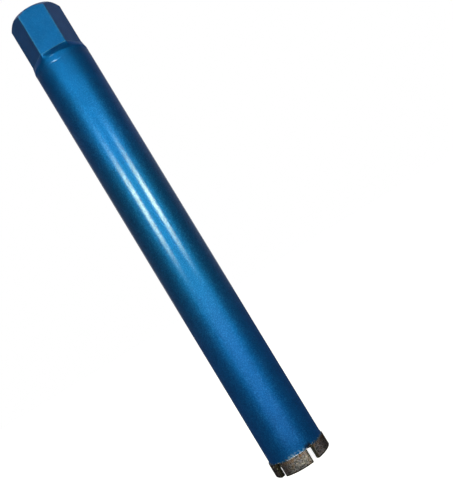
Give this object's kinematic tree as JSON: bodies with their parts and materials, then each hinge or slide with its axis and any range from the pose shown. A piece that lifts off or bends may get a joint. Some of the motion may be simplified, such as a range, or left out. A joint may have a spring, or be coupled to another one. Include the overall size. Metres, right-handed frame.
{
  "type": "diamond core bit",
  "caption": "Thin-walled steel barrel with brazed diamond segments at its cutting end and a threaded hexagon hub at the other, for wet core drilling in concrete and masonry.",
  "frame": {"origin": "on the bit's axis, at the cutting face of the crown, on which the bit stands", "axes": "+Z along the axis from the crown to the hub; one flat of the hub's hexagon faces -Y, and two of its corners lie along X"},
  "size_m": [0.0519, 0.052, 0.44],
  "materials": {
    "blue_paint": "metallic blue enamel under a clear coat, glossy",
    "sintered_segment": "sintered bronze and steel with diamond grit, ground round the outside",
    "silver_braze": "silver braze, as run, partly under paint"
  },
  "bodies": {
    "root": {"barrel": "blue_paint", "hub": "blue_paint", "weld_ring": "blue_paint", "segment_1": "sintered_segment", "segment_2": "sintered_segment", "segment_3": "sintered_segment", "segment_4": "sintered_segment", "segment_5": "sintered_segment", "braze_seam_1": "silver_braze", "braze_seam_2": "silver_braze", "braze_seam_3": "silver_braze", "braze_seam_4": "silver_braze", "braze_seam_5": "silver_braze"}
  },
  "joints": []
}
